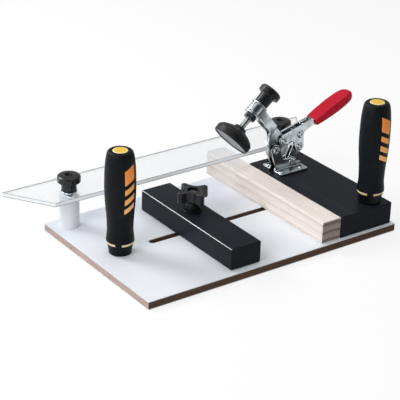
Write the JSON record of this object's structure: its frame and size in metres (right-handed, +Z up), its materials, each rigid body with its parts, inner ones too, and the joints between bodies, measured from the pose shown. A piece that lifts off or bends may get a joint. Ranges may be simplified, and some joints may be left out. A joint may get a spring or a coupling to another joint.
{
  "type": "router table coping sled",
  "caption": "Flat sled with a clear guide edge, sliding stop bar, wooden backer, hand grips and toggle clamp, for holding a rail while its end is cut on a router table.",
  "frame": {"origin": "centre of the object's box, on the underside of the board", "axes": "+X along the board's long side towards the fixed fence block, +Y from the front edge towards the guide, +Z up"},
  "size_m": [0.4134, 0.2332, 0.1538],
  "materials": {
    "white_laminate": "white melamine skin",
    "fibreboard": "sawn brown fibreboard edge",
    "black_satin": "black satin",
    "pale_wood": "planed pale hardwood",
    "zinc_steel": "bright zinc plate",
    "black_plastic": "moulded black",
    "grip_rubber": "soft black moulding",
    "grip_orange": "orange moulding",
    "clear_acrylic": "clear polished sheet",
    "white_plastic": "turned white plastic",
    "pad_rubber": "black rubber",
    "pad_face": "grey rubber disc",
    "red_vinyl": "dipped red vinyl"
  },
  "bodies": {
    "root": {"board_bottom_laminate": "white_laminate", "board_top_laminate": "white_laminate", "board_core": "fibreboard", "fixed_fence_block": "black_satin", "wood_backer": "pale_wood", "block_screw_1": "zinc_steel", "block_screw_2": "zinc_steel", "block_screw_3": "zinc_steel", "backer_screw_1": "zinc_steel", "backer_screw_2": "zinc_steel", "left_grip_bolt": "zinc_steel", "right_grip_bolt": "zinc_steel", "left_post_stud": "zinc_steel", "right_post_stud": "zinc_steel", "left_guide_washer": "zinc_steel", "right_guide_washer": "zinc_steel", "clamp_base_front": "zinc_steel", "clamp_base_back": "zinc_steel", "flange_screw_front_left": "zinc_steel", "flange_screw_front_right": "zinc_steel", "flange_screw_back_left": "zinc_steel", "flange_screw_back_right": "zinc_steel", "arm_pivot_pin": "zinc_steel", "link_pivot_pin": "zinc_steel", "left_grip_sleeve": "grip_rubber", "right_grip_sleeve": "grip_rubber", "left_grip_core": "grip_orange", "right_grip_core": "grip_orange", "left_post": "white_plastic", "right_post": "white_plastic"},
    "sliding_fence": {"sliding_fence_bar": "black_satin", "fence_washer": "black_plastic", "fence_bolt": "zinc_steel"},
    "fence_knob": {"star_knob": "black_plastic", "star_knob_insert": "zinc_steel"},
    "guide": {"guide_plate": "clear_acrylic"},
    "left_post_knob": {"left_guide_knob": "black_plastic"},
    "right_post_knob": {"right_guide_knob": "black_plastic"},
    "toggle_arm": {"clamp_arm": "zinc_steel", "upper_nose_washer": "zinc_steel", "lower_nose_washer": "zinc_steel", "lock_nut": "zinc_steel"},
    "toggle_lever": {"clamp_lever": "zinc_steel", "lever_pivot_pin": "zinc_steel", "lever_link_pin": "zinc_steel", "lever_spacer_pin": "zinc_steel", "lever_grip": "red_vinyl"},
    "toggle_link": {"clamp_link": "zinc_steel"},
    "toggle_pad": {"rubber_pad": "pad_rubber", "pad_face": "pad_face"},
    "toggle_spindle": {"spindle": "zinc_steel", "spindle_knob": "black_plastic"}
  },
  "joints": [
    {"name": "fence_slide", "type": "slide", "parent": "root", "child": "sliding_fence", "axis": [-1, 0, 0], "range_m": [-0.08, 0.0495]},
    {"name": "fence_knob_turn", "type": "hinge", "parent": "sliding_fence", "child": "fence_knob", "pos_m": [-0.03895, -0.0076, 0.045], "axis": [0, 0, 1], "continuous": true},
    {"name": "guide_slide", "type": "slide", "parent": "root", "child": "guide", "axis": [0, 1, 0], "range_m": [-0.006, 0.006]},
    {"name": "left_post_knob_turn", "type": "hinge", "parent": "root", "child": "left_post_knob", "pos_m": [-0.14665, 0.0737, 0.06], "axis": [0, 0, 1], "continuous": true},
    {"name": "right_post_knob_turn", "type": "hinge", "parent": "root", "child": "right_post_knob", "pos_m": [0.14455, 0.0737, 0.06], "axis": [0, 0, 1], "continuous": true},
    {"name": "arm_swing", "type": "hinge", "parent": "root", "child": "toggle_arm", "pos_m": [0.09525, 0.0234, 0.0633], "axis": [0, -1, 0], "range_deg": [-15, 50.8]},
    {"name": "lever_swing", "type": "hinge", "parent": "toggle_arm", "child": "toggle_lever", "pos_m": [0.1057, 0.0234, 0.07311], "axis": [0, -1, 0], "range_deg": [-55.9, 16.5]},
    {"name": "link_swing", "type": "hinge", "parent": "root", "child": "toggle_link", "pos_m": [0.11925, 0.0234, 0.044], "axis": [0, -1, 0], "range_deg": [-11.3, 38.1]},
    {"name": "pad_travel", "type": "slide", "parent": "toggle_arm", "child": "toggle_pad", "axis": [0.7524, 0, 0.6587], "range_m": [0, 0.009]},
    {"name": "spindle_turn", "type": "hinge", "parent": "toggle_pad", "child": "toggle_spindle", "pos_m": [0.06671, 0.0234, 0.1168], "axis": [0.7524, 0, 0.6587], "range_deg": [0, 2592.1]}
  ],
  "couplings": [
    {"joint": "lever_swing", "follows": "arm_swing", "ratio": -1.1},
    {"joint": "link_swing", "follows": "arm_swing", "ratio": 0.75},
    {"joint": "spindle_turn", "follows": "pad_travel", "rad_per_m": 5026.6}
  ]
}
